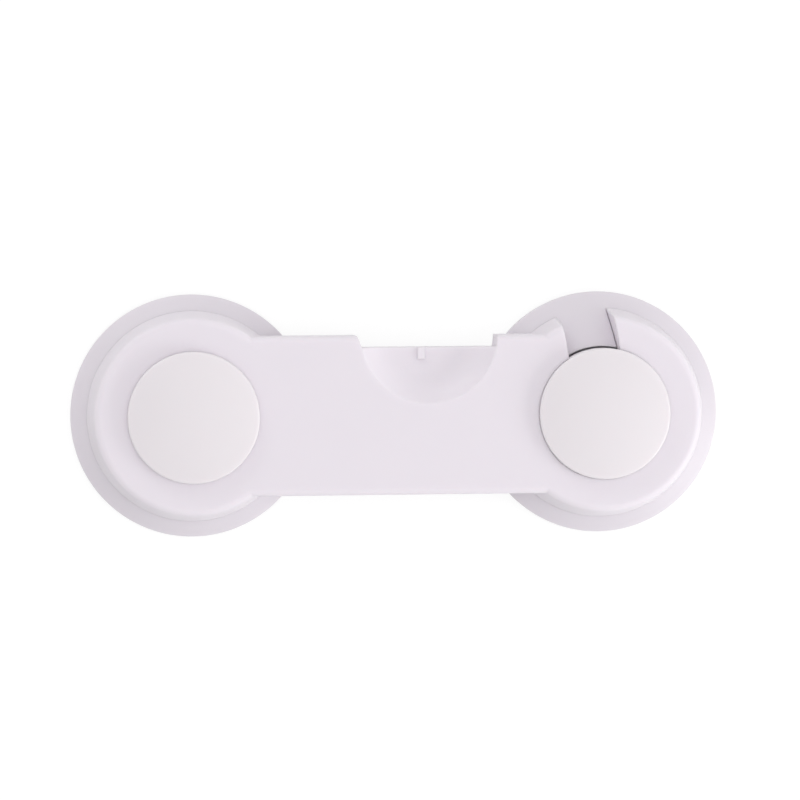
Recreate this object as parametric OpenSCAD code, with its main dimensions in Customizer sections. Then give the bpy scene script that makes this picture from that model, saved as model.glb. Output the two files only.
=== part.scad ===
// Cabinet safety lock: two stick-on bases joined by one swinging arm.
// The arm turns on the pivot base. Its other end hooks under a T-shaped post on the
// catch base, and a sprung round button carries the gate that keeps it there.
// X runs from the pivot base to the catch base, Z points away from the furniture.
// Units are millimetres.

/* [Overall] */
// Distance between the centres of the two bases
base_span = 56.5; // [52:0.5:70]
// Diameter of each base
base_d = 33.5; // [32:0.5:38]

/* [Adhesive pads] */
// Diameter of the foam pads and of their liners
pad_d = 30.5; // [26:0.5:31]
// Thickness of the foam tape
foam_t = 1.0; // [0.6:0.1:2]
// Thickness of the release liner
liner_t = 0.1; // [0.06:0.02:0.2]

/* [Bases] */
// Thickness of a base, from its underside to its flat top
base_t = 2.3; // [2:0.1:3.5]
// Height of the upright edge below the bevel
base_edge_h = 0.8; // [0.5:0.1:1.5]
// Level width of the bevel round the flat top
bevel_w = 2.35; // [1.5:0.05:2.6]

/* [Arm] */
// Outer diameter of the ring at each end of the arm, at its foot
ring_d = 29; // [28:0.5:31]
// Width of the bar between the rings, at its foot
bar_w = 22; // [20:0.5:25]
// Height of the arm from its underside to its flat top
arm_h = 6.0; // [5.8:0.1:8]
// Clearance between the arm and the flat tops of the bases
arm_gap = 0.2; // [0.15:0.05:0.4]
// Lean of the rings' outer walls, in degrees
ring_draft = 10; // [3:1:12]
// Radius of the rings' outer top edge
ring_edge_r = 1.0; // [0.6:0.1:2]
// Lean of the bar's sides, in degrees
bar_draft = 1; // [0.5:0.5:3]
// Radius of the bar's top edges
bar_edge_r = 0.9; // [0.5:0.1:1.5]
// Thickness of the arm's top and side walls
wall = 1.7; // [1.4:0.1:2.2]
// Thickness of the ribs under the arm
rib_t = 1.2; // [0.8:0.1:1.6]
// Number of rib cells along the bar
rib_cells = 4; // [4:1:6]

/* [Thumb scoop] */
// Place of the scoop's centre along the arm, from the middle of the lock
scoop_x = 4.1; // [2:0.1:5]
// Radius of the scoop at the arm's flat top
scoop_r = 9.4; // [7.5:0.1:10]
// Depth of the scoop's floor below the arm's flat top
scoop_depth = 2.4; // [1.5:0.1:3.6]
// Level width of the curved wall round that floor
scoop_wall_w = 4.2; // [3.6:0.1:5]
// How far the bar's side is cut back at the scoop
relief_depth = 1.65; // [1:0.05:2]
// Length of that cut at its bottom
relief_l = 18.5; // [17:0.5:19]

/* [Domes] */
// Diameter of the pivot cap and of the release button
dome_d = 18; // [17:0.5:18.5]
// Rise of the domed top above its upright edge
dome_rise = 1.3; // [1:0.1:4.5]
// Height of that upright edge above the arm's flat top
dome_step = 1.0; // [0.2:0.1:1.2]
// Wall of the domed tops
dome_wall = 1.4; // [1:0.1:1.8]

/* [Pivot] */
// How far the cap's brim reaches over the edge of its pocket
brim_w = 0.5; // [0.3:0.1:0.8]
// Diameter of the hub that the arm turns on
hub_d = 12; // [11:0.5:13]
// Radial running clearance of the arm on the hub
hub_fit = 0.08; // [0.04:0.01:0.1]
// Diameter of the cap's split stem
stem_d = 8.8; // [7.5:0.1:9]
// Thickness of the stem's prongs
prong_t = 1.2; // [0.9:0.1:1.5]
// How far the prongs' barbs stand out
barb = 0.6; // [0.4:0.1:0.8]

/* [Latch] */
// How far the catch post stands in from the centre of the catch base
post_inset = 0.7; // [0.5:0.1:2]
// Width of the post's neck
neck_w = 2.6; // [2:0.1:3]
// Width of the post's head
head_w = 6.0; // [5.4:0.1:6.4]
// Length of the post along the swing
post_l = 4.0; // [3:0.1:4.2]
// Thickness of the post's head
head_t = 1.2; // [1:0.1:1.4]
// Height of the key that stands in the ring's slot, above the base's flat top
key_rise = 3.5; // [2:0.1:4.5]
// Radial running clearance of the button in the arm
button_fit = 0.03; // [0.02:0.01:0.1]
// Travel of the release button
press_travel = 1.4; // [1.1:0.1:1.6]
// Thickness of the gate wall inside the button
gate_wall = 1.4; // [1:0.1:1.6]
// Thickness of the retainer plate under the button
retainer_t = 0.9; // [0.8:0.1:1.2]
// Height of the button's stop flanges
flange_t = 0.8; // [0.6:0.1:1]
// How far those flanges stand out from the button's skirt
flange_w = 1.0; // [0.6:0.1:1.1]

/* [Button springs] */
// Outer diameter of a spring
spring_d = 2.8; // [2.4:0.1:3]
// Diameter of the spring wire
wire_d = 0.35; // [0.25:0.05:0.4]
// Turns of wire in a spring
spring_turns = 4; // [3:0.5:4]

/* [Hidden] */
$fn = 96;

// Overlap of cutting tools past the faces that they cut
cut = 1;
// Clearance of the pieces that drop into a pocket
slide_fit = 0.1;
// Clearance round pieces that pass each other without touching
pass_gap = 0.2;
// Clearance of the post's neck in its slots, of its head in the gate, and of the key in the ring
neck_gap = 0.3;
key_gap = 0.1;

// Places of the two bases
pivot_x = -base_span / 2;
catch_x = base_span / 2;
base_r = base_d / 2;
flat_r = base_r - bevel_w;
ring_r = ring_d / 2;
dome_r = dome_d / 2;
hub_r = hub_d / 2;
stem_r = stem_d / 2;

// Levels of the stack, from the furniture upwards
foam_z = liner_t;
base_z = foam_z + foam_t;
top_z = base_z + base_t;
arm_z = top_z + arm_gap;
crest_z = arm_z + arm_h;
edge_z = crest_z + dome_step;
dome_z = edge_z + dome_rise;
brim_z = crest_z + pass_gap / 2;

// Levels inside the pivot: the arm's seat, the cap's skirt, the hub's top and the prongs' shoulder
seat_t = 3.0;
seat_z = arm_z + seat_t;
skirt_z = seat_z + pass_gap;
hub_z = skirt_z + pass_gap;
shoulder_t = 1.3;
shoulder_z = base_z + shoulder_t;
barb_h = 0.8;
prong_gap = 1.2;
thrust_w = 2.0;
cap_r = dome_r - brim_w;
pocket_r = cap_r + slide_fit;

// Levels inside the latch: retainer, post head, gate, window and stop ledge
retainer_z = arm_z + retainer_t;
head_gap = 0.25;
head_z = retainer_z + head_gap;
head_top_z = head_z + head_t;
gate_z = arm_z + press_travel;
gate_t = retainer_t;
window_z = head_top_z + pass_gap + press_travel;
ledge_z = gate_z + flange_t + slide_fit;

// Plan sizes inside the latch
post_x = catch_x - post_inset;
post_r = base_span - post_inset;
slot_w = head_w + 4 * neck_gap;
key_w = slot_w - 2 * key_gap;
gate_gap = neck_w + 2 * neck_gap;
window_w = head_w + 2 * neck_gap;
gate_leg = 2.0;
gate_y = post_l / 2 + pass_gap;
skirt_t = 1.2;
skirt_r = dome_r - skirt_t;
flange_r = dome_r + flange_w;
flange_reach = 6;
bore_r = dome_r + button_fit;
chamber_r = flange_r + 2 * pass_gap;
retainer_rim = 1.9;
retainer_r = chamber_r + retainer_rim;
tongue_r = skirt_r - pass_gap;
bridge_w = 11;
key_in_r = dome_r + pass_gap;
slot_y = skirt_r - skirt_t;
peg_r = 0.8;
peg_h = 1.8;
peg_ring_r = (chamber_r + retainer_r) / 2;
peg_angles = [-35, 180, 270];

// Springs: places from the button's centre, seats and pitch of the wire
spring_r = spring_d / 2;
left_spring = [-3.8, -4.6];
right_spring = [5.6, 0.6];
spring_gap = 0.03;
spring_top_z = crest_z - pass_gap;
spring_bottom = retainer_z + spring_gap;
spring_h = spring_top_z - spring_gap - spring_bottom;
pitch = (spring_h - wire_d) / spring_turns;
spigot_h = 0.8;
rings_per_turn = 8;
wire_sides = 6;

// White moulded plastic, foam tape, liner paper and spring wire
plastic = [0.93, 0.91, 0.93];
foam_white = [0.88, 0.88, 0.86];
paper = [0.78, 0.84, 0.88];
steel = [0.70, 0.71, 0.73];

// Radius of the sphere that gives a dome of a given rise over a circle of radius r
function dome_sphere(r, rise) = (r * r + rise * rise) / (2 * rise);

// Round disc between two levels
module disc(r, z0, z1) {
    translate([0, 0, z0]) cylinder(r = r, h = z1 - z0);
}

// Ring between two radii and two levels
module tube(r_in, r_out, z0, z1) {
    difference() {
        disc(r_out, z0, z1);
        disc(r_in, z0 - cut, z1 + cut);
    }
}

// Box given by its two corners
module block(low, high) {
    translate(low) cube(high - low);
}

// Band of width w that follows the post's path round the pivot, between two levels and from y0 on
module swing_band(w, z0, z1, y0) {
    intersection() {
        translate([pivot_x, 0, 0]) tube(post_r - w / 2, post_r + w / 2, z0, z1);
        block([catch_x - base_r, y0, z0], [catch_x + base_r, base_r, z1]);
    }
}

// Half outline of a piece whose side leans in and whose top edge is round, from the centre line out
module rounded_half(half_w, h, r, lean) {
    flat_w = half_w - (h - r) * tan(lean) - r / cos(lean);
    square([flat_w, h]);
    polygon([
        [0, 0], [half_w, 0], [flat_w + r * cos(lean), h - r + r * sin(lean)],
        [flat_w, h - r], [0, h - r]
    ]);
    translate([flat_w, h - r]) circle(r);
}

// Adhesive pads
module pad(x, z, t) {
    translate([x, 0, 0]) disc(pad_d / 2, z, z + t);
}

module pivot_liner() {
    color(paper) pad(pivot_x, 0, liner_t);
}

module catch_liner() {
    color(paper) pad(catch_x, 0, liner_t);
}

module pivot_foam() {
    color(foam_white) pad(pivot_x, foam_z, foam_t);
}

module catch_foam() {
    color(foam_white) pad(catch_x, foam_z, foam_t);
}

// Round base with an upright edge and a bevel up to its flat top
module base_disc() {
    translate([0, 0, base_z]) cylinder(r = base_r, h = base_edge_h);
    translate([0, 0, base_z + base_edge_h])
        cylinder(r1 = base_r, r2 = flat_r, h = base_t - base_edge_h);
}

module pivot_base() {
    color(plastic) translate([pivot_x, 0, 0]) difference() {
        union() {
            base_disc();
            disc(hub_r, top_z - cut, hub_z);
            disc(hub_r + thrust_w, top_z - cut, arm_z);
        }
        disc(stem_r + slide_fit, base_z - cut, hub_z + cut);
        disc(stem_r + barb + pass_gap, base_z - cut, shoulder_z);
    }
}

// Domed solid: a cylinder of radius dome_r from level z0, closed by part of a sphere
module dome_solid(r, z0, inset) {
    ball = dome_sphere(dome_r, dome_rise);
    intersection() {
        disc(r, z0, dome_z);
        translate([0, 0, dome_z - ball]) sphere(r = ball - inset, $fn = 128);
    }
}

// Dome on top of a skirt, hollowed to an even wall
module dome_shell(z0, outer_r) {
    difference() {
        union() {
            disc(outer_r, z0, edge_z);
            dome_solid(dome_r, brim_z, 0);
        }
        dome_solid(outer_r - skirt_t, z0 - cut, dome_wall);
    }
}

// One quarter turn of the cap's split stem is taken away by each of two crossing saw cuts
module stem() {
    boss_r = stem_r + pass_gap * 2;
    difference() {
        union() {
            disc(stem_r, shoulder_z - slide_fit - barb_h, hub_z + cut);
            translate([0, 0, shoulder_z - slide_fit - barb_h])
                cylinder(r1 = stem_r - barb / 2, r2 = stem_r + barb, h = barb_h);
        }
        disc(stem_r - prong_t, base_z - cut, hub_z - cut);
        for (turn = [0, 90])
            rotate(turn) block(
                [-base_r, -prong_gap / 2, base_z - cut],
                [base_r, prong_gap / 2, hub_z - cut]
            );
    }
    intersection() {
        disc(boss_r, hub_z, dome_z);
        dome_solid(boss_r, hub_z, dome_wall / 2);
    }
}

module pivot_cap() {
    color(plastic) translate([pivot_x, 0, 0]) {
        dome_shell(skirt_z, cap_r);
        stem();
    }
}

// Outside of the arm: a round end over each base, and a bar between them
module arm_blank() {
    for (x = [pivot_x, catch_x])
        translate([x, 0, arm_z])
            rotate_extrude() rounded_half(ring_r, arm_h, ring_edge_r, ring_draft);
    translate([pivot_x, 0, arm_z])
        rotate([90, 0, 90]) linear_extrude(base_span) {
            rounded_half(bar_w / 2, arm_h, bar_edge_r, bar_draft);
            mirror([1, 0]) rounded_half(bar_w / 2, arm_h, bar_edge_r, bar_draft);
        }
}

// Thumb scoop: a dished half bowl in the bar's edge, and a shallow cut in its side
module scoop_cutter() {
    flat = scoop_r - scoop_wall_w;
    bowl = dome_sphere(scoop_wall_w, scoop_depth);
    left_flare = 0.65;
    right_flare = 0.2;
    half_l = relief_l / 2;
    edge_y = bar_w / 2;
    translate([scoop_x, edge_y, crest_z - scoop_depth]) rotate_extrude() {
        square([flat, scoop_depth + cut]);
        intersection() {
            translate([flat, bowl]) circle(bowl);
            translate([flat, 0]) square([scoop_r, scoop_depth + bar_edge_r]);
        }
    }
    translate([scoop_x, edge_y, arm_z - cut]) linear_extrude(arm_h + 2 * cut) polygon([
        [-half_l - left_flare, cut], [-half_l - left_flare, 0], [-half_l, -relief_depth],
        [half_l, -relief_depth], [half_l + right_flare, 0], [half_l + right_flare, cut]
    ]);
}

// Small raised mark that the moulding gate leaves on the scoop's floor
module gate_mark() {
    size = [1.0, 1.7, 0.3];
    from_scoop = -1.45;
    floor_z = crest_z - scoop_depth;
    translate([scoop_x + from_scoop, bar_w / 2 - relief_depth - size[1], floor_z - size[2]])
        cube([size[0], size[1], 2 * size[2]]);
}

// Rib cells under the bar, shallow and short where the scoop comes down into them
module rib_cells_cutter() {
    cell_x0 = pivot_x + ring_r - wall + rib_t;
    cell_x1 = catch_x - ring_r + wall - rib_t;
    step = (cell_x1 - cell_x0 + rib_t) / rib_cells;
    deep_z = crest_z - wall;
    shallow_z = crest_z - scoop_depth - rib_t;
    for (i = [0 : rib_cells - 1], side = [-1, 1]) {
        x0 = cell_x0 + i * step;
        x1 = x0 + step - rib_t;
        near = side > 0 && x1 > scoop_x - scoop_r - wall && x0 < scoop_x + scoop_r + wall;
        far_y = bar_w / 2 - wall - (near ? relief_depth : 0);
        low_y = side > 0 ? rib_t / 2 : -far_y;
        high_y = side > 0 ? far_y : -rib_t / 2;
        block([x0, low_y, arm_z - cut], [x1, high_y, near ? shallow_z : deep_z]);
    }
}

// Ribbed groove under the pivot end, between the dome's pocket and the ring's wall
module pivot_groove() {
    ribs = 8;
    roof_h = arm_h - wall;
    foot_r = ring_r - wall;
    difference() {
        translate([0, 0, arm_z - cut]) cylinder(
            r1 = foot_r + cut * tan(ring_draft), r2 = foot_r - roof_h * tan(ring_draft), h = roof_h + cut
        );
        disc(bore_r + pass_gap + rib_t, arm_z - 2 * cut, crest_z);
        for (i = [0 : ribs / 2 - 1])
            rotate(i * 360 / ribs)
                block([-base_r, -rib_t / 2, arm_z - 2 * cut], [base_r, rib_t / 2, crest_z]);
    }
}

module arm() {
    color(plastic) union() {
        difference() {
            arm_blank();
            translate([pivot_x, 0, 0]) {
                disc(hub_r + hub_fit, arm_z - cut, crest_z);
                disc(pocket_r, seat_z, crest_z + cut);
                pivot_groove();
            }
            translate([catch_x, 0, 0]) {
                disc(bore_r, ledge_z - cut, crest_z + cut);
                disc(chamber_r, arm_z - cut, ledge_z);
                disc(retainer_r + slide_fit, arm_z - cut, retainer_z);
                for (a = peg_angles)
                    rotate(a) translate([peg_ring_r, 0, 0])
                        disc(peg_r, retainer_z - cut, retainer_z + peg_h + pass_gap);
            }
            swing_band(slot_w, arm_z - cut, crest_z + cut, slot_y);
            scoop_cutter();
            rib_cells_cutter();
        }
        gate_mark();
    }
}

// T-shaped post: the head's leading edge is cut back below, so that it presses the gate down
module post() {
    half_l = post_l / 2;
    lead = head_t - pass_gap / 2;
    translate([post_x, 0, 0]) {
        block([-neck_w / 2, -half_l + lead, top_z - cut], [neck_w / 2, half_l, head_top_z]);
        translate([-head_w / 2, 0, 0]) rotate([90, 0, 90]) linear_extrude(head_w) polygon([
            [-half_l, head_top_z], [-half_l, head_z + lead], [-half_l + lead, head_z],
            [half_l, head_z], [half_l, head_top_z]
        ]);
    }
}

// Mould windows through the base under the two wings of the post's head
module post_windows() {
    for (side = [-1, 1])
        translate([post_x + side * (neck_w + head_w) / 4, 0, 0])
            block(
                [-(head_w - neck_w) / 4, -post_l / 2, base_z - cut],
                [(head_w - neck_w) / 4, post_l / 2, top_z + cut]
            );
}

// Key in the ring's slot: its sloping top carries the base's bevel on, up to the button
module key() {
    intersection() {
        translate([catch_x, 0, 0]) rotate_extrude() polygon([
            [key_in_r, top_z - base_edge_h], [flat_r, top_z - base_edge_h],
            [flat_r, top_z], [key_in_r, top_z + key_rise]
        ]);
        swing_band(key_w, base_z, crest_z, 0);
    }
}

module catch_base() {
    color(plastic) {
        difference() {
            translate([catch_x, 0, 0]) base_disc();
            post_windows();
        }
        post();
        key();
    }
}

// Plate snapped into the arm's underside: it keeps the button in, seats the springs,
// and hooks under the post's head with a slot that just passes the neck
module button_retainer() {
    color(plastic) translate([catch_x, 0, 0]) {
        difference() {
            disc(retainer_r, arm_z, retainer_z);
            difference() {
                tube(tongue_r, chamber_r, arm_z - cut, retainer_z + cut);
                block([-bridge_w / 2, -base_r, arm_z - cut], [bridge_w / 2, 0, retainer_z + cut]);
            }
            intersection() {
                disc(tongue_r + cut / 2, arm_z - cut, retainer_z + cut);
                block(
                    [-base_r, gate_y - pass_gap, arm_z - cut],
                    [window_w / 2 + gate_leg - post_inset + pass_gap, base_r, retainer_z + cut]
                );
            }
            translate([-catch_x, 0, 0])
                swing_band(gate_gap, arm_z - cut, retainer_z + cut, -post_l / 2 - pass_gap);
            translate([-catch_x, 0, 0])
                swing_band(slot_w, arm_z - cut, retainer_z + cut, slot_y);
        }
        for (a = peg_angles)
            rotate(a) translate([peg_ring_r, 0, 0])
                disc(peg_r, retainer_z - retainer_t / 2, retainer_z + peg_h);
        for (place = [left_spring, right_spring])
            translate(place)
                disc(spring_r - wire_d - pass_gap, retainer_z - retainer_t / 2, retainer_z + spigot_h);
    }
}

// Gate wall that hangs inside the button: a narrow gap below, a wide window above it
module gate() {
    leg_x = window_w / 2 + gate_leg;
    intersection() {
        dome_solid(skirt_r + skirt_t / 2, gate_z - cut, dome_wall / 2);
        translate([-catch_x, 0, 0]) difference() {
            block([post_x - leg_x, gate_y, gate_z], [post_x + leg_x, gate_y + gate_wall, dome_z]);
            swing_band(gate_gap, gate_z - cut, gate_z + gate_t + cut, 0);
            swing_band(window_w, gate_z + gate_t, window_z, 0);
            gate_ramp();
        }
    }
}

// Slope on the gate's outer face that the post's head rides down as the arm closes
module gate_ramp() {
    slope = 45;
    size = gate_wall / 2;
    translate([post_x - base_r, gate_y + gate_wall, gate_z + gate_t])
        rotate([slope, 0, 0]) translate([0, -size / 2, -size / 2]) cube([base_d, size, size]);
}

module release_button() {
    color(plastic) translate([catch_x, 0, 0]) {
        difference() {
            union() {
                dome_shell(gate_z, dome_r);
                intersection() {
                    tube(skirt_r + skirt_t / 2, flange_r, gate_z, gate_z + flange_t);
                    block([-base_r, -flange_reach, gate_z], [base_r, flange_reach, dome_z]);
                }
            }
            translate([-catch_x, 0, 0]) swing_band(slot_w, gate_z - cut, window_z, gate_y + gate_wall);
            block(
                [-bridge_w / 2 - pass_gap, -base_r, gate_z - cut],
                [bridge_w / 2 + pass_gap, -skirt_r / 2, retainer_z + press_travel + pass_gap]
            );
        }
        gate();
        for (place = [left_spring, right_spring])
            intersection() {
                translate(place) disc(spring_r, spring_top_z, dome_z);
                dome_solid(dome_r, edge_z - 2 * cut, dome_wall / 2);
            }
    }
}

// Point on the middle line of the spring wire, i rings up from its foot
function wire_point(i) =
    let (a = 360 * i / rings_per_turn, r = spring_r - wire_d / 2)
    [r * cos(a), r * sin(a), spring_bottom + wire_d / 2 + pitch * i / rings_per_turn];

// Ring of points round the wire, square to its run
function wire_ring(i) =
    let (
        a = 360 * i / rings_per_turn,
        c = wire_point(i),
        out = [cos(a), sin(a), 0],
        run = [-sin(a) * (spring_r - wire_d / 2), cos(a) * (spring_r - wire_d / 2), pitch / 360 * 180 / PI],
        up = cross(out, run) / norm(cross(out, run))
    )
    [for (k = [0 : wire_sides - 1])
        let (b = 360 * k / wire_sides) c + wire_d / 2 * (cos(b) * out + sin(b) * up)];

// Least gap of the wire to its own next turns, measured on the points of its middle line
function wire_self_gap(last) = min([
    for (i = [0 : last], j = [i + rings_per_turn / 2 : 1 : last])
        norm(wire_point(i) - wire_point(j))
]) - wire_d;

module spring(place) {
    last = round(spring_turns * rings_per_turn);
    n = wire_sides;
    points = [for (i = [0 : last]) each wire_ring(i)];
    sides = [
        for (i = [0 : last - 1], k = [0 : n - 1])
            let (a = i * n + k, b = i * n + (k + 1) % n)
            each [[a, a + n, b], [b, a + n, b + n]]
    ];
    ends = [for (k = [1 : n - 2]) each [[0, k, k + 1], [last * n, last * n + k + 1, last * n + k]]];
    echo(least_gap_of_spring_wire_to_itself = wire_self_gap(last));
    translate([catch_x + place[0], place[1], 0]) polyhedron(points, concat(sides, ends));
}

module left_button_spring() {
    color(steel) spring(left_spring);
}

module right_button_spring() {
    color(steel) spring(right_spring);
}

pivot_liner();
pivot_foam();
pivot_base();
arm();
pivot_cap();
catch_liner();
catch_foam();
catch_base();
button_retainer();
left_button_spring();
right_button_spring();
release_button();
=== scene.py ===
# Cabinet safety lock: two stick-on bases, an arm that swings between them, a pivot cap and a sprung button.
import math

import bmesh
import bpy
from mathutils import Matrix, Vector, noise


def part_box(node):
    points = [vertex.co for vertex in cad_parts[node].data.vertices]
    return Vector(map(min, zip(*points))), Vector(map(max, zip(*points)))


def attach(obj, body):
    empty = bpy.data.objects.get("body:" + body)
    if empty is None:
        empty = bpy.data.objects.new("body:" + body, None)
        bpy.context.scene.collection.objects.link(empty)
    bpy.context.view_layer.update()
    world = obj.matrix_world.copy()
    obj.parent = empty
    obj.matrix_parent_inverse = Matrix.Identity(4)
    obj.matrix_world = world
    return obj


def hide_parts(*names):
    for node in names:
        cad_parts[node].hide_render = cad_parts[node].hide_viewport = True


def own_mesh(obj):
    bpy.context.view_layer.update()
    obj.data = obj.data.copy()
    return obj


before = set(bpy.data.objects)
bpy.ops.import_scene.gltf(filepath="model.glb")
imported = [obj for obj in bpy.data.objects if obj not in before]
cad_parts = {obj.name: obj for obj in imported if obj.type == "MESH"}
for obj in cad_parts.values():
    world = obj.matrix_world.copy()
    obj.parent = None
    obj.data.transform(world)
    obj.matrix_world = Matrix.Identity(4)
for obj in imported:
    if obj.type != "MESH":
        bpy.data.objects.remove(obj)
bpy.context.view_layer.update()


# Release liners
# Each is a disc of pale blue siliconed film, die-cut to the size of the foam and peeled off before use.
# A wavy slit across the middle lets a fingernail lift either half.
MM = 0.001
BASES = ("pivot", "catch")
SLIT_GAP = 0.12 * MM
SLIT_WAVE = 0.7 * MM
SLIT_WAVES = 3
LINER_STEPS = 96
LINER_ROWS = 8
LINER_BLUE = (0.56, 0.71, 0.80, 1)
LINER_PALE = (0.66, 0.78, 0.85, 1)


def middle_of(node):
    """Centre of a CAD node's box."""
    low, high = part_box(node)
    return (low + high) / 2


def new_piece(name, mesh, body, replaced):
    """Puts a mesh in the scene as a piece that stands for a CAD node and moves with its body."""
    piece = bpy.data.objects.new(name, mesh)
    bpy.context.scene.collection.objects.link(piece)
    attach(piece, body)
    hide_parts(replaced)
    return piece


class Shade:
    """One socket of a material. Sums of shades are written as Python sums, and each adds its Math node."""

    def __init__(self, tree, socket=None):
        self.tree = tree
        self.socket = socket

    def node(self, kind, settings=None, sockets=None, output=0):
        """Adds a node: its settings come first, then the values or links of its sockets."""
        made = self.tree.nodes.new(kind)
        for name, value in (settings or {}).items():
            setattr(made, name, value)
        for name, value in (sockets or {}).items():
            if isinstance(value, Shade):
                self.tree.links.new(value.socket, made.inputs[name])
            else:
                made.inputs[name].default_value = value
        return Shade(self.tree, made.outputs[output] if made.outputs else None)

    def maths(self, operation, first, second):
        return self.node("ShaderNodeMath", {"operation": operation}, {0: first, 1: second})

    def __add__(self, other):
        return self.maths("ADD", self, other)

    def __sub__(self, other):
        return self.maths("SUBTRACT", self, other)

    def __rsub__(self, other):
        return self.maths("SUBTRACT", other, self)

    def __mul__(self, other):
        return self.maths("MULTIPLY", self, other)

    __radd__ = __add__
    __rmul__ = __mul__


def new_material(name):
    """An empty material, as the shade that its nodes are added to."""
    material = bpy.data.materials.new(name)
    material.use_nodes = True
    material.node_tree.nodes.clear()
    return material, Shade(material.node_tree)


def place(shade):
    """Coordinates that stay with the piece, in metres."""
    return shade.node("ShaderNodeTexCoord", output="Object")


def speckle(shade, where, size, detail=2.0):
    """Soft noise between 0 and 1 whose lumps are about that size, in metres."""
    sockets = {"Vector": where, "Scale": 1 / size, "Detail": detail, "Roughness": 0.55}
    return shade.node("ShaderNodeTexNoise", {"noise_dimensions": "3D"}, sockets, "Fac")


def between(shade, share, first, second):
    """Colour that goes from the first to the second."""
    mix = {"data_type": "RGBA", "blend_type": "MIX"}
    return shade.node("ShaderNodeMix", mix, {0: share, 6: first, 7: second}, 2)


def finish_surface(shade, sockets):
    """Ends a material with one Principled shader."""
    surface = shade.node("ShaderNodeBsdfPrincipled", None, sockets)
    shade.node("ShaderNodeOutputMaterial", None, {"Surface": surface})


def liner_film():
    material, film = new_material("liner_film")
    where = place(film)
    cloud = speckle(film, where, 2.5 * MM)
    scuff = speckle(film, where, 0.25 * MM, 4.0)
    bump = film.node("ShaderNodeBump", None, {"Strength": 0.15, "Distance": 0.02 * MM, "Height": scuff})
    finish_surface(film, {
        "Base Color": between(film, cloud, LINER_BLUE, LINER_PALE),
        "Roughness": 0.22 + 0.15 * scuff,
        "Normal": bump,
    })
    return material


def liner_mesh(node):
    """Two half discs of film with the wavy slit between them."""
    low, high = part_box(node)
    middle = middle_of(node)
    radius = (high.x - low.x) / 2
    build = bmesh.new()
    for side in (-1, 1):
        columns = []
        for i in range(LINER_STEPS + 1):
            across = -radius * math.cos(math.pi * i / LINER_STEPS)
            rim = math.sqrt(max(radius * radius - across * across, 0))
            wave = SLIT_WAVE * math.sin(math.pi * SLIT_WAVES * across / radius) * rim / radius
            slit = wave + side * min(SLIT_GAP / 2, rim)
            column = []
            for j in range(LINER_ROWS + 1):
                along = slit + (side * rim - slit) * j / LINER_ROWS
                column.append(build.verts.new((middle.x + across, middle.y + along, low.z)))
            columns.append(column)
        for left, right in zip(columns, columns[1:]):
            for j in range(LINER_ROWS):
                build.faces.new((left[j], right[j], right[j + 1], left[j + 1]))
    bmesh.ops.remove_doubles(build, verts=build.verts, dist=0.001 * MM)
    bmesh.ops.recalc_face_normals(build, faces=build.faces)
    for face in build.faces:
        if face.normal.z > 0:
            face.normal_flip()
    mesh = bpy.data.meshes.new(node + "_film")
    build.to_mesh(mesh)
    build.free()
    return mesh, high.z - low.z


film_material = liner_film()
for base in BASES:
    node = base + "_liner"
    mesh, thickness = liner_mesh(node)
    liner = new_piece(node + "_film", mesh, "bases", node)
    liner.data.materials.append(film_material)
    sheet = liner.modifiers.new("film thickness", "SOLIDIFY")
    sheet.thickness = thickness
    sheet.offset = -1


# Foam pads
# Each is a disc of white closed-cell acrylic foam tape, die-cut and stuck under its base.
# The cut edge is pressed in a little at mid height and shows the open cells.
PAD_STEPS = 540
PAD_ROWS = 9
PAD_WAIST = 0.12 * MM
CELL_SIZE = 0.28 * MM
CELL_DEPTH = 0.07 * MM
FOAM_WHITE = (0.80, 0.79, 0.75, 1)
FOAM_SHADE = (0.60, 0.59, 0.56, 1)


def foam_tape():
    material, foam = new_material("foam_tape")
    where = place(foam)
    packing = {"Vector": where, "Scale": 1 / CELL_SIZE}
    cells = foam.node("ShaderNodeTexVoronoi", {"feature": "F1"}, packing, "Distance")
    cloud = speckle(foam, where, 1.5 * MM)
    bump = foam.node("ShaderNodeBump", None, {"Strength": 0.6, "Distance": 0.05 * MM, "Height": cells})
    finish_surface(foam, {
        "Base Color": between(foam, 0.6 * cells + 0.3 * cloud, FOAM_WHITE, FOAM_SHADE),
        "Roughness": 0.75 + 0.2 * cloud,
        "Normal": bump,
    })
    return material


def foam_mesh(node):
    """Disc with a waisted, cellular edge and flat faces."""
    low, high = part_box(node)
    middle = middle_of(node)
    radius = (high.x - low.x) / 2
    height = high.z - low.z
    build = bmesh.new()
    rows = []
    for j in range(PAD_ROWS + 1):
        up = j / PAD_ROWS
        row = []
        for i in range(PAD_STEPS):
            turn = 2 * math.pi * i / PAD_STEPS
            out = Vector((math.cos(turn), math.sin(turn), 0))
            point = middle + out * radius
            point.z = low.z + up * height
            pit = noise.cell(point / CELL_SIZE) * 0.5 + noise.noise(point / (0.6 * CELL_SIZE)) * 0.5
            inward = PAD_WAIST * math.sin(math.pi * up) + CELL_DEPTH * (pit + 0.5)
            if j in (0, PAD_ROWS):
                inward = 0.02 * MM
            row.append(build.verts.new(point - out * inward))
        rows.append(row)
    for lower, upper in zip(rows, rows[1:]):
        for i in range(PAD_STEPS):
            k = (i + 1) % PAD_STEPS
            build.faces.new((lower[i], lower[k], upper[k], upper[i]))
    build.faces.new(list(reversed(rows[0])))
    build.faces.new(rows[-1])
    mesh = bpy.data.meshes.new(node + "_pad")
    build.to_mesh(mesh)
    build.free()
    return mesh


foam_material = foam_tape()
for base in BASES:
    node = base + "_foam"
    pad = new_piece(node + "_pad", foam_mesh(node), "bases", node)
    pad.data.materials.append(foam_material)


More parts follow.
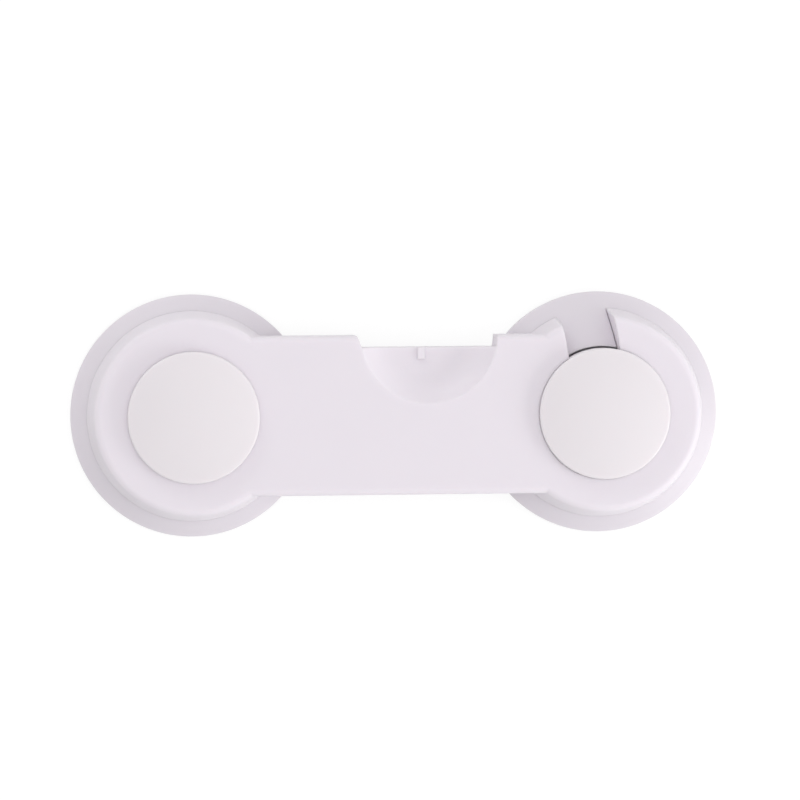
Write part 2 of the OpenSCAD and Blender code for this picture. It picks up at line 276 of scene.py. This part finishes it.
# Bases
# Two discs of white plastic, each moulded in one with what stands on it: the hub, or the post and the key.
# The foam holds them on the furniture, and their bevelled rims show round the arm's rings.
# Their white is a little darker than the arm's. That is painted shade, which dims the bevelled rims.
BASE_SHADED_WHITE = (0.770, 0.728, 0.776, 1)
BASE_SHADED_CLOUD = (0.758, 0.718, 0.766, 1)
BASE_EDGE_R = 0.25 * MM
GLOW_DEPTH = 0.7 * MM


def moulded_plastic(name, white, cloud, gloss, grain, edge_r):
    """White plastic from a spark-eroded mould: a fine satin grain, faint clouds from the melt's flow,
    and a little light that sinks in and comes out again."""
    material, plastic = new_material(name)
    where = place(plastic)
    flow = speckle(plastic, where, 9 * MM, 1.0)
    satin = speckle(plastic, where, 0.9 * MM, 3.0)
    spark = speckle(plastic, where, grain, 2.0)
    edges = plastic.node("ShaderNodeBevel", {"samples": 8}, {"Radius": edge_r})
    grain_bump = {"Strength": 0.25, "Distance": 0.012 * MM, "Height": spark, "Normal": edges}
    bump = plastic.node("ShaderNodeBump", None, grain_bump)
    finish_surface(plastic, {
        "Base Color": between(plastic, flow, white, cloud),
        "Roughness": gloss + 0.10 * satin,
        "IOR": 1.49,
        "Subsurface Weight": 0.7,
        "Subsurface Radius": (1.0, 0.95, 0.94),
        "Subsurface Scale": GLOW_DEPTH,
        "Normal": bump,
    })
    return material


def paint(piece, material):
    piece.data.materials.clear()
    piece.data.materials.append(material)


shaded_base_material = moulded_plastic("base_plastic", BASE_SHADED_WHITE, BASE_SHADED_CLOUD, 0.42, 0.10 * MM, BASE_EDGE_R)
for base in BASES:
    paint(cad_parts[base + "_base"], shaded_base_material)


# Arm
# One white moulding with a ring at each end, a flat bar, a thumb scoop and ribs underneath.
# It turns on the pivot base's hub, and its other ring closes over the catch base's post and key.
ARM_WHITE = (0.840, 0.792, 0.846, 1)
ARM_CLOUD = (0.828, 0.782, 0.836, 1)
ARM_EDGE_R = 0.35 * MM

arm_material = moulded_plastic("arm_plastic", ARM_WHITE, ARM_CLOUD, 0.45, 0.12 * MM, ARM_EDGE_R)
paint(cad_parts["arm"], arm_material)


# Button retainer
# A thin white plate snapped by three pegs into the arm's underside.
# It holds the button in, seats the springs and hooks under the head of the post.
# The plate takes the bases' darker white, which is painted shade meant for their rims.
paint(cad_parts["button_retainer"], shaded_base_material)


# Button springs
# Two coils of bright drawn steel wire, set over spigots on the retainer plate.
# They push the button up and are squeezed as it is pressed, though here each coil keeps its rest length.
WIRE_D = 0.35 * MM
SPRING_TURNS = 4
SPRING_TURN_STEPS = 40
WIRE_SIDES = 14
STEEL = (0.62, 0.63, 0.65, 1)
STEEL_DARK = (0.45, 0.45, 0.47, 1)


def spring_wire():
    material, wire = new_material("spring_wire")
    where = place(wire)
    draw = speckle(wire, where, 0.08 * MM, 3.0)
    bump = wire.node("ShaderNodeBump", None, {"Strength": 0.2, "Distance": 0.01 * MM, "Height": draw})
    finish_surface(wire, {
        "Base Color": between(wire, draw, STEEL, STEEL_DARK),
        "Metallic": 1.0,
        "Roughness": 0.22 + 0.15 * draw,
        "Normal": bump,
    })
    return material


def spring_mesh(node):
    """Round wire along a helix that fills the CAD spring's box, with flat cut ends."""
    low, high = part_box(node)
    middle = middle_of(node)
    coil = (high.x - low.x) / 2 - WIRE_D / 2
    foot = low.z + WIRE_D / 2
    rise = high.z - low.z - WIRE_D
    last = SPRING_TURNS * SPRING_TURN_STEPS
    build = bmesh.new()
    rings = []
    for i in range(last + 1):
        turn = 2 * math.pi * i / SPRING_TURN_STEPS
        out = Vector((math.cos(turn), math.sin(turn), 0))
        run = Vector((-out.y * coil, out.x * coil, rise / (2 * math.pi * SPRING_TURNS))).normalized()
        up = out.cross(run)
        centre = Vector((middle.x, middle.y, foot + rise * i / last)) + out * coil
        ring = []
        for k in range(WIRE_SIDES):
            angle = 2 * math.pi * k / WIRE_SIDES
            around = math.cos(angle) * out + math.sin(angle) * up
            ring.append(build.verts.new(centre + WIRE_D / 2 * around))
        rings.append(ring)
    for first, second in zip(rings, rings[1:]):
        for k in range(WIRE_SIDES):
            n = (k + 1) % WIRE_SIDES
            build.faces.new((first[k], first[n], second[n], second[k])).smooth = True
    build.faces.new(rings[0])
    build.faces.new(rings[-1])
    bmesh.ops.recalc_face_normals(build, faces=build.faces)
    mesh = bpy.data.meshes.new(node + "_coil")
    build.to_mesh(mesh)
    build.free()
    return mesh, low.z, high.z - low.z


wire_material = spring_wire()
for side in ("left", "right"):
    node = side + "_button_spring"
    mesh, foot, height = spring_mesh(node)
    coil = new_piece(node + "_coil", mesh, "arm", node)
    coil.data.materials.append(wire_material)
    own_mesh(coil)


# Release button and pivot cap
# Two white domes of one shape. The cap snaps into the hub with a split stem and stays still.
# The button slides in the arm's other ring and carries the gate of the latch.
DOME_WHITE = (0.840, 0.798, 0.826, 1)
DOME_CLOUD = (0.828, 0.788, 0.816, 1)
DOME_EDGE_R = 0.50 * MM

dome_material = moulded_plastic("dome_plastic", DOME_WHITE, DOME_CLOUD, 0.38, 0.10 * MM, DOME_EDGE_R)
for node in ("release_button", "pivot_cap"):
    paint(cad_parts[node], dome_material)


# Studio: a white floor under broad soft light
# A low panel beside the catch end and a weaker one behind the scoop shade what faces the pivot end.
FLOOR_SIDE = 1.6
FLOOR_GREY = (0.60, 0.60, 0.60, 1)
FLOOR_SEEN = (0.22, 0.22, 0.22, 1)
FLOOR_LIFT = 0.84
WORLD_LEVEL = 0.85
PANELS = (
    {"name": "key", "size": (0.30, 0.14), "turn": -24, "height": 19, "distance": 0.45, "level": 0.36},
    {"name": "fill", "size": (0.30, 0.14), "turn": 115, "height": 20, "distance": 0.45, "level": 0.15},
)


def floor_material():
    material, floor = new_material("studio_floor")
    path = floor.tree.nodes.new("ShaderNodeLightPath")
    camera_ray = Shade(floor.tree, path.outputs["Is Camera Ray"])
    glossy_ray = Shade(floor.tree, path.outputs["Is Glossy Ray"])
    through_ray = Shade(floor.tree, path.outputs["Is Transmission Ray"])
    seen = floor.maths("MINIMUM", camera_ray + glossy_ray + through_ray, 1.0)
    plain = floor.node("ShaderNodeBsdfDiffuse", None, {"Color": FLOOR_GREY})
    shown = floor.node("ShaderNodeBsdfDiffuse", None, {"Color": FLOOR_SEEN})
    lift = floor.node("ShaderNodeEmission", None, {"Color": (1, 1, 1, 1), "Strength": FLOOR_LIFT})
    lifted = floor.node("ShaderNodeAddShader", None, {0: shown, 1: lift})
    both = floor.node("ShaderNodeMixShader", None, {0: seen, 1: plain, 2: lifted})
    floor.node("ShaderNodeOutputMaterial", None, {"Surface": both})
    return material


floor_mesh = bpy.data.meshes.new("studio_floor")
half = FLOOR_SIDE / 2
corners = [(-half, -half, 0), (half, -half, 0), (half, half, 0), (-half, half, 0)]
floor_mesh.from_pydata(corners, [], [(0, 1, 2, 3)])
floor_mesh.materials.append(floor_material())
floor = bpy.data.objects.new("studio_floor", floor_mesh)
floor.location.z = -0.02 * MM
bpy.context.scene.collection.objects.link(floor)

world = bpy.data.worlds.new("studio")
world.use_nodes = True
backdrop = world.node_tree.nodes["Background"]
backdrop.inputs["Color"].default_value = (1, 1, 1, 1)
backdrop.inputs["Strength"].default_value = WORLD_LEVEL
bpy.context.scene.world = world

for panel in PANELS:
    turn = math.radians(panel["turn"])
    height = math.radians(panel["height"])
    level = Vector((math.cos(turn), math.sin(turn), 0))
    towards = math.cos(height) * level + math.sin(height) * Vector((0, 0, 1))
    lamp = bpy.data.lights.new(panel["name"], "AREA")
    lamp.shape = "RECTANGLE"
    lamp.size, lamp.size_y = panel["size"]
    lamp.energy = panel["level"] * math.pi ** 2 * panel["distance"] ** 2
    soft_box = bpy.data.objects.new(panel["name"], lamp)
    soft_box.location = towards * panel["distance"]
    soft_box.rotation_mode = "QUATERNION"
    soft_box.rotation_quaternion = (-towards).to_track_quat("-Z", "Y")
    bpy.context.scene.collection.objects.link(soft_box)


# Camera
# It looks almost straight down on the lock, from a little towards the pivot end and the scoop's side.
CAMERA_AIM = Vector((0.70, 1.86, 1.5)) * MM
CAMERA_LEAN = Vector((-0.0854, 0.0335, 1))
CAMERA_DISTANCE = 550 * MM
CAMERA_ROLL = math.radians(-0.41)
PICTURE_WIDTH = 111.2 * MM
SENSOR = 36.0

camera = bpy.data.cameras.new("camera")
camera.sensor_width = SENSOR
camera.lens = SENSOR * CAMERA_DISTANCE / PICTURE_WIDTH
viewer = bpy.data.objects.new("camera", camera)
back = CAMERA_LEAN.normalized()
up = Vector((-math.sin(CAMERA_ROLL), math.cos(CAMERA_ROLL), 0))
right = up.cross(back).normalized()
up = back.cross(right)
turned = Matrix((right, up, back)).transposed().to_4x4()
viewer.matrix_world = Matrix.Translation(CAMERA_AIM + back * CAMERA_DISTANCE) @ turned
bpy.context.scene.collection.objects.link(viewer)
bpy.context.scene.camera = viewer
bpy.context.scene.view_settings.view_transform = "Standard"
